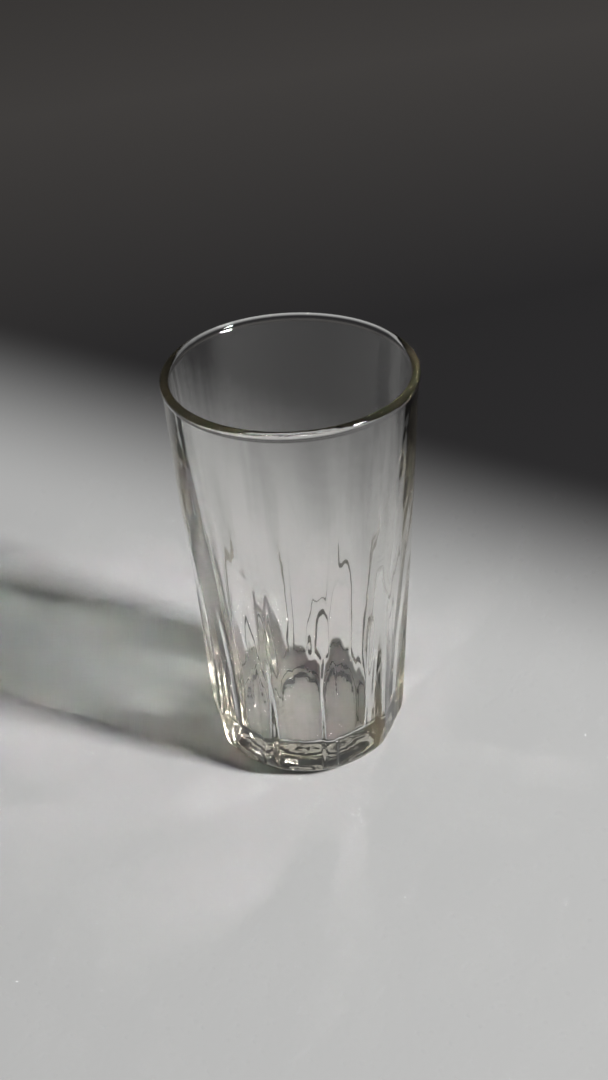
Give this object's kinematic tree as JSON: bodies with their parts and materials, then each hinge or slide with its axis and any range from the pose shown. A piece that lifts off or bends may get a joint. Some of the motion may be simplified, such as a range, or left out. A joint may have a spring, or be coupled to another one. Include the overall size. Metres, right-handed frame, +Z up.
{
  "type": "highball glass",
  "caption": "Clear pressed-glass highball tumbler: tapered round wall with a rolled rim, ten shallow flutes with rounded ribs between them round the lower half, and a thick base, to hold a cold drink.",
  "frame": {"origin": "on the table, at the middle of the foot", "axes": "+Z up along the glass's own axis to the mouth, -Y through the middle of one flute"},
  "size_m": [0.068, 0.068, 0.12],
  "materials": {
    "clear_glass": "fire-polished pressed soda-lime glass"
  },
  "bodies": {
    "root": {"base": "clear_glass", "fluted_wall": "clear_glass", "upper_wall": "clear_glass", "rim": "clear_glass"}
  },
  "joints": []
}
